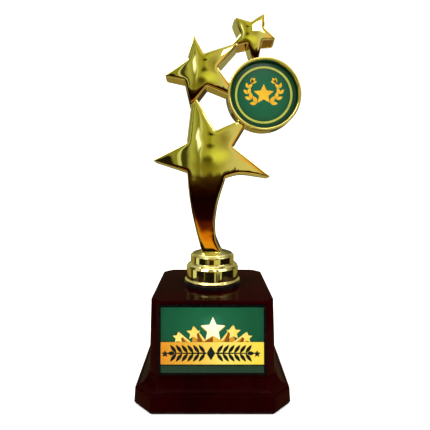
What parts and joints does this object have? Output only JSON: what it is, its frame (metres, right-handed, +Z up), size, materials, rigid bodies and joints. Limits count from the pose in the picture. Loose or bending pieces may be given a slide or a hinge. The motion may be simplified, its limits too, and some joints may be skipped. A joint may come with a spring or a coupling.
{
  "type": "star trophy",
  "caption": "Star trophy: stacked gold stars and a round medallion on a stepped collar, clamped to a square plinth with a printed name plate.",
  "frame": {"origin": "centre of the plinth's underside, on the axis of the tie rod", "axes": "+Z up, the front with the name plate and medallion faces -Y, +X to the viewer's right"},
  "size_m": [0.1097, 0.096, 0.2506],
  "materials": {
    "gold_plating": "vacuum-metallised mirror gold on moulded plastic",
    "plated_steel": "zinc-plated, satin",
    "printed_card": "printed, gloss laminated",
    "foam_tape": "matt double-sided tape",
    "black_rubber": "semi-gloss moulded rubber",
    "insert_brass": "turned, bright",
    "maroon_lacquer": "high-gloss dark rosewood colour",
    "board_plastic": "matt black sheet",
    "ballast_iron": "as cast",
    "black_felt": "matt felt",
    "black_plastic": "gloss black",
    "printed_plate": "full-colour print, gloss laminated"
  },
  "bodies": {
    "plinth": {"plinth_block": "maroon_lacquer", "plinth_base": "maroon_lacquer", "bottom_board": "board_plastic", "board_screws": "plated_steel", "ballast_slab": "ballast_iron", "ballast_screws": "plated_steel", "base_felt": "black_felt", "label_tape": "foam_tape", "label_backing": "black_plastic", "label_plate": "printed_plate"},
    "figure": {"lower_star_shell": "gold_plating", "lower_star_cover": "gold_plating", "middle_star_shell": "gold_plating", "middle_star_cover": "gold_plating", "upper_star_shell": "gold_plating", "upper_star_cover": "gold_plating", "medallion_cup": "gold_plating", "medallion_cover": "gold_plating", "riser_collar": "gold_plating", "link_pins": "plated_steel", "insert_disc": "printed_card", "insert_tape": "foam_tape", "collar_gasket": "black_rubber", "foot_insert": "insert_brass", "tie_rod": "plated_steel", "clamp_washer": "plated_steel", "spring_washer": "plated_steel", "hex_nut": "plated_steel"}
  },
  "joints": [
    {"name": "figure_swivel", "type": "hinge", "parent": "plinth", "child": "figure", "pos_m": [0, 0, 0.0637], "axis": [0, 0, 1], "continuous": true}
  ]
}
